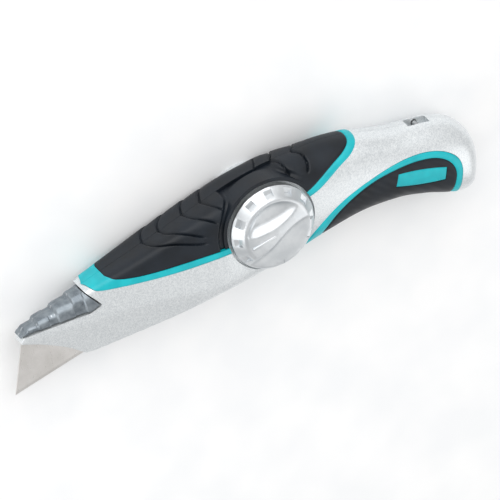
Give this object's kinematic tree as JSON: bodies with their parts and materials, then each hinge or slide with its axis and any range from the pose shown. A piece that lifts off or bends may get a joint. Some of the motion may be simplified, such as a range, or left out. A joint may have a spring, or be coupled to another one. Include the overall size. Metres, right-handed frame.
{
  "type": "utility knife",
  "caption": "Fixed-blade utility knife: two die-cast halves with soft grips, clamped around a trapezoid blade by a large half-turn knob.",
  "frame": {"origin": "on the knob axis, in the flat outer face of the left half, which the knife lies on", "axes": "+Z along the knob axis, from the left half towards the knob; +Y towards the spine; -X towards the blade, +X towards the butt"},
  "size_m": [0.2019, 0.0501, 0.0296],
  "materials": {
    "silver_paint": "silver sparkle paint on die-cast zinc",
    "gunmetal_paint": "gunmetal paint, satin",
    "teal_plastic": "bright teal moulding, satin",
    "slate_rubber": "dark slate soft grip",
    "satin_metal": "satin chrome on die-cast zinc",
    "blade_steel": "bare carbon steel, ground edge",
    "black_rubber": "black rubber",
    "magnet_nickel": "nickel-plated magnet",
    "spring_steel": "spring steel",
    "zinc_casting": "bare zinc casting",
    "pin_steel": "zinc-plated steel"
  },
  "bodies": {
    "left_half": {"left_shell": "silver_paint", "left_nose_cap": "gunmetal_paint", "left_top_trim_front": "teal_plastic", "left_top_trim_rear": "teal_plastic", "left_top_grip": "slate_rubber", "left_palm_trim": "teal_plastic", "left_palm_grip": "slate_rubber", "left_badge": "teal_plastic", "cam_socket": "zinc_casting", "socket_screw_1": "pin_steel", "socket_screw_2": "pin_steel", "lift_spring": "spring_steel", "blade": "blade_steel", "blade_pin_1": "pin_steel", "blade_pin_2": "pin_steel", "blade_magnet": "magnet_nickel", "spare_blade_1": "blade_steel", "spare_blade_2": "blade_steel", "spare_blade_3": "blade_steel", "spare_clip": "spring_steel", "spare_clip_screw": "pin_steel", "dowel_pin_1": "pin_steel", "dowel_pin_2": "pin_steel", "lanyard_pin": "pin_steel"},
    "right_half": {"right_shell": "silver_paint", "right_nose_cap": "gunmetal_paint", "right_top_trim_front": "teal_plastic", "right_top_trim_rear": "teal_plastic", "right_top_grip": "slate_rubber", "right_palm_trim": "teal_plastic", "right_palm_grip": "slate_rubber", "right_badge": "teal_plastic", "blade_pad": "black_rubber", "thrust_washer": "pin_steel"},
    "knob_lock": {"knob": "satin_metal", "knob_spindle": "pin_steel", "cross_pin": "pin_steel", "retaining_ring": "spring_steel", "stop_pin": "pin_steel"}
  },
  "joints": [
    {"name": "shell_lift", "type": "slide", "parent": "left_half", "child": "right_half", "axis": [0, 0, 1], "range_m": [0, 0.006], "deforming": ["lift_spring"]},
    {"name": "knob_turn", "type": "hinge", "parent": "right_half", "child": "knob_lock", "pos_m": [0, 0, 0.0226], "axis": [0, 0, 1], "range_deg": [0, 180]}
  ],
  "couplings": [
    {"joint": "knob_turn", "follows": "shell_lift", "rad_per_m": 523.59}
  ]
}
